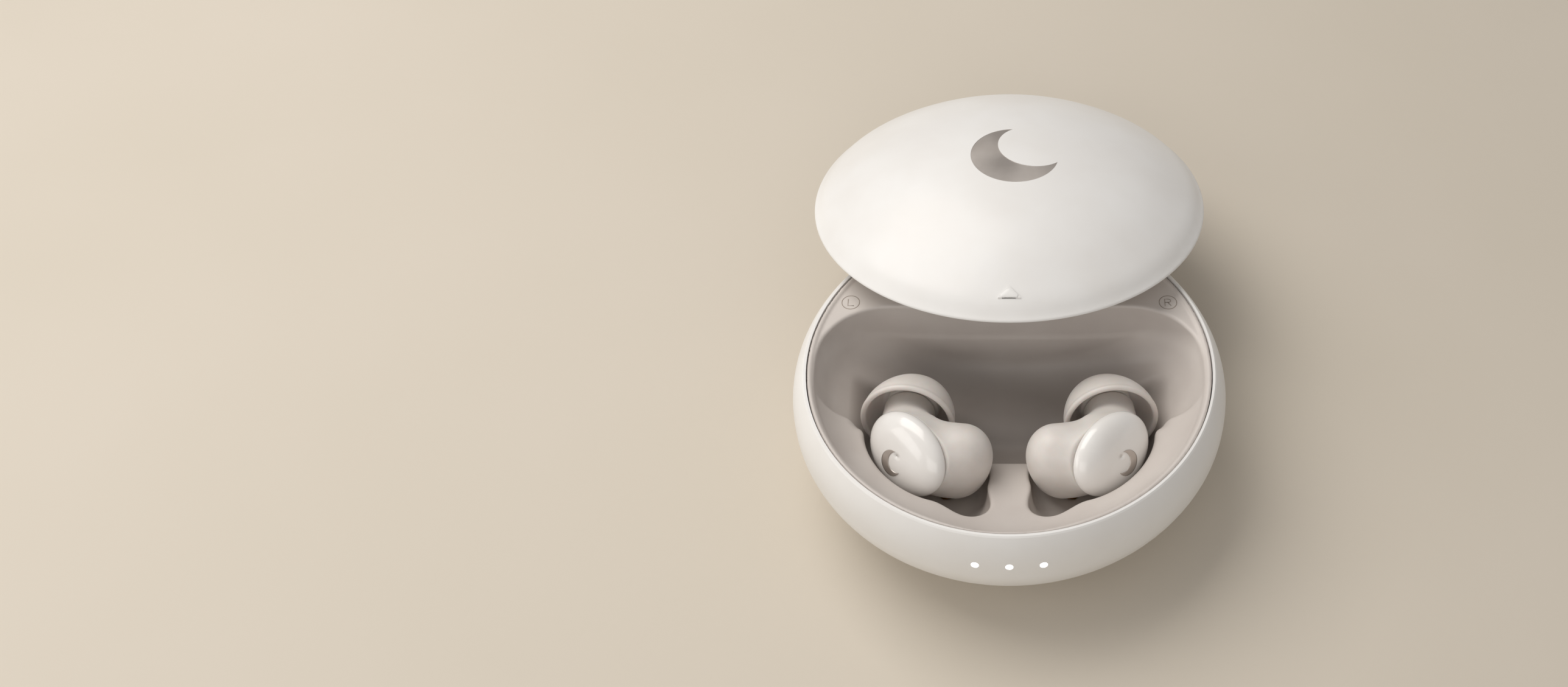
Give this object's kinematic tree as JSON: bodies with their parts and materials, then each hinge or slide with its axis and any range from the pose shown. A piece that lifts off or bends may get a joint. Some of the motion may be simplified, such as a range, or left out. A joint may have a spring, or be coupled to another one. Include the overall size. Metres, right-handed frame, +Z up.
{
  "type": "wireless earbuds case",
  "caption": "Round charging case with a curved sliding lid held open, and two silicone-tipped earbuds seated in wells of its inner tray.",
  "frame": {"origin": "centre of the flat foot under the case, on the surface it stands on", "axes": "+Z up, -Y towards the front with the charge lights, +Y towards the charging port, +X to the right seen from the front"},
  "size_m": [0.063, 0.0929, 0.0339],
  "materials": {
    "pearl_shell": "satin pearl white",
    "tray_plastic": "fine matte greige",
    "pearl_gloss": "glossy pearl white",
    "silicone": "soft matte silicone",
    "body_plastic": "matte",
    "emblem_metal": "brushed warm grey metal",
    "circuit_board": "solder mask",
    "chip_black": "moulded black",
    "foam_black": "foam",
    "battery_wrap": "foil pouch",
    "steel": "stamped steel",
    "gold": "gold plated",
    "magnet": "nickel plated",
    "light_guide": "clear diffuser",
    "led": "phosphor",
    "flex": "polyimide film",
    "slide_plastic": "low-friction acetal",
    "mesh": "woven mesh"
  },
  "bodies": {
    "case": {"outer_shell": "pearl_shell", "inner_tray": "tray_plastic", "main_pcb": "circuit_board", "pcb_screws": "steel", "charge_chips": "chip_black", "usb_c_receptacle": "steel", "usb_tongue": "chip_black", "battery_cell": "battery_wrap", "battery_foam": "foam_black", "closure_magnets": "magnet", "hall_sensor": "chip_black", "button_board": "circuit_board", "tact_switch": "chip_black", "light_guides": "light_guide", "led_board": "circuit_board", "led_chips": "led", "led_flex": "flex", "slide_shoe": "slide_plastic", "shoe_screws": "steel", "pogo_barrels_left": "gold", "pogo_barrels_right": "gold", "pogo_board_left": "circuit_board", "pogo_board_right": "circuit_board", "cradle_magnet_left": "magnet", "cradle_magnet_right": "magnet"},
    "lid": {"lid_dome": "pearl_shell", "lid_emblem": "emblem_metal", "lid_liner": "tray_plastic", "guide_track": "steel", "track_screws": "steel", "stop_bumpers": "silicone", "lid_magnets": "magnet"},
    "pairing_button": {"pairing_button": "tray_plastic"},
    "earbud_left": {"face_cap_left": "pearl_gloss", "cap_emblem_left": "emblem_metal", "body_shell_left": "body_plastic", "wing_sleeve_left": "silicone", "ear_tip_left": "silicone", "nozzle_mesh_left": "mesh", "charge_contacts_left": "gold", "speaker_driver_left": "steel", "button_cell_left": "steel", "earbud_pcb_left": "circuit_board", "earbud_magnet_left": "magnet"},
    "charge_pins_left": {"pogo_plungers_left": "gold"},
    "earbud_right": {"face_cap_right": "pearl_gloss", "cap_emblem_right": "emblem_metal", "body_shell_right": "body_plastic", "wing_sleeve_right": "silicone", "ear_tip_right": "silicone", "nozzle_mesh_right": "mesh", "charge_contacts_right": "gold", "speaker_driver_right": "steel", "button_cell_right": "steel", "earbud_pcb_right": "circuit_board", "earbud_magnet_right": "magnet"},
    "charge_pins_right": {"pogo_plungers_right": "gold"}
  },
  "joints": [
    {"name": "lid_slide", "type": "hinge", "parent": "case", "child": "lid", "pos_m": [0, 0.0169, -0.139], "axis": [-1, 0, 0], "range_deg": [-11.34, 0]},
    {"name": "earbud_left_lift", "type": "slide", "parent": "case", "child": "earbud_left", "axis": [0, 0, 1], "range_m": [0, 0.025]},
    {"name": "earbud_right_lift", "type": "slide", "parent": "case", "child": "earbud_right", "axis": [0, 0, 1], "range_m": [0, 0.025]},
    {"name": "pairing_button_press", "type": "slide", "parent": "case", "child": "pairing_button", "axis": [0, -1, 0], "range_m": [0, 0.0003], "stiffness_N_per_m": 400, "springref_m": -0.0003},
    {"name": "charge_pins_left_press", "type": "slide", "parent": "case", "child": "charge_pins_left", "axis": [0, 0, -1], "range_m": [0, 0.0004], "stiffness_N_per_m": 300, "springref_m": -0.0003},
    {"name": "charge_pins_right_press", "type": "slide", "parent": "case", "child": "charge_pins_right", "axis": [0, 0, -1], "range_m": [0, 0.0004], "stiffness_N_per_m": 300, "springref_m": -0.0003}
  ]
}
